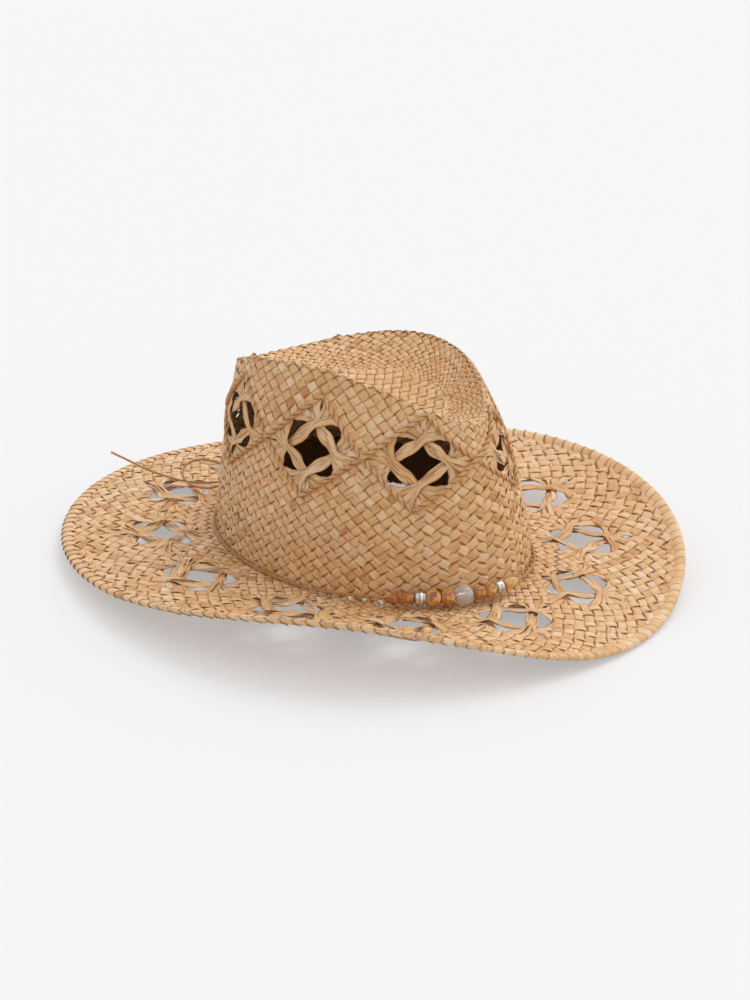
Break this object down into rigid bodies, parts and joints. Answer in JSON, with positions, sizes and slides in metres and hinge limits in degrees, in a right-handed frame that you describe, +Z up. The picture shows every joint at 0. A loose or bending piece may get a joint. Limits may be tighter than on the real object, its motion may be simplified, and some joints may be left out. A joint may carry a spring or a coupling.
{
  "type": "cowboy hat",
  "caption": "Woven straw cowboy hat with an openwork crown and curled brim, rolled edge, sweatband, and a thin cord with spinning beads round the crown.",
  "frame": {"origin": "middle of the brim's outline, on the surface that the hat stands on", "axes": "+Z up through the crown, -Y the way the wearer looks, +X to the wearer's left"},
  "size_m": [0.346, 0.39, 0.1299],
  "materials": {
    "straw": "matt plaited paper straw, tan with golden strips",
    "plastic_wire": "extruded natural plastic",
    "band_fabric": "woven cotton tape",
    "waxed_cord": "twisted, waxed",
    "silver": "cast, silver plated, dulled in the grooves",
    "amber": "tumbled amber-coloured resin, faceted",
    "crystal": "polished clear glass",
    "tube_bead": "turned brown resin"
  },
  "bodies": {
    "hat": {"crown": "straw", "brim": "straw", "brim_hem": "straw", "brim_wire": "plastic_wire", "wire_joiner": "plastic_wire", "sweatband": "band_fabric", "band_cord": "waxed_cord", "band_knot": "waxed_cord", "bow_loop": "waxed_cord", "tail_long": "waxed_cord", "tail_short": "waxed_cord"},
    "tube_bead_right": {"tube_bead_right": "tube_bead"},
    "silver_bead_right": {"silver_bead_right": "silver"},
    "amber_bead_1": {"amber_bead_1": "amber"},
    "amber_bead_2": {"amber_bead_2": "amber"},
    "crystal_bead": {"crystal_bead": "crystal"},
    "amber_bead_3": {"amber_bead_3": "amber"},
    "amber_bead_4": {"amber_bead_4": "amber"},
    "silver_bead_left": {"silver_bead_left": "silver"},
    "tube_bead_left": {"tube_bead_left": "tube_bead"}
  },
  "joints": [
    {"name": "tube_bead_right_spin", "type": "hinge", "parent": "hat", "child": "tube_bead_right", "pos_m": [-0.05532, -0.09496, 0.01783], "axis": [0.7199, -0.6938, 0.0195], "continuous": true},
    {"name": "silver_bead_right_spin", "type": "hinge", "parent": "hat", "child": "silver_bead_right", "pos_m": [-0.04798, -0.10127, 0.01795], "axis": [0.8055, -0.5926, 0.0037], "continuous": true},
    {"name": "amber_bead_1_spin", "type": "hinge", "parent": "hat", "child": "amber_bead_1", "pos_m": [-0.04196, -0.10539, 0.01796], "axis": [0.8426, -0.5385, 0], "continuous": true},
    {"name": "amber_bead_2_spin", "type": "hinge", "parent": "hat", "child": "amber_bead_2", "pos_m": [-0.03509, -0.10927, 0.01796], "axis": [0.8975, -0.441, 0], "continuous": true},
    {"name": "crystal_bead_spin", "type": "hinge", "parent": "hat", "child": "crystal_bead", "pos_m": [-0.02649, -0.11277, 0.01796], "axis": [0.9462, -0.3237, 0], "continuous": true},
    {"name": "amber_bead_3_spin", "type": "hinge", "parent": "hat", "child": "amber_bead_3", "pos_m": [-0.01775, -0.1153, 0.01796], "axis": [0.9757, -0.219, 0], "continuous": true},
    {"name": "amber_bead_4_spin", "type": "hinge", "parent": "hat", "child": "amber_bead_4", "pos_m": [-0.01056, -0.11649, 0.01796], "axis": [0.9944, -0.1055, 0], "continuous": true},
    {"name": "silver_bead_left_spin", "type": "hinge", "parent": "hat", "child": "silver_bead_left", "pos_m": [-0.00388, -0.11685, 0.01796], "axis": [1, -0.0009, 0], "continuous": true},
    {"name": "tube_bead_left_spin", "type": "hinge", "parent": "hat", "child": "tube_bead_left", "pos_m": [0.00439, -0.11636, 0.01788], "axis": [0.9929, 0.1162, -0.0245], "continuous": true}
  ]
}
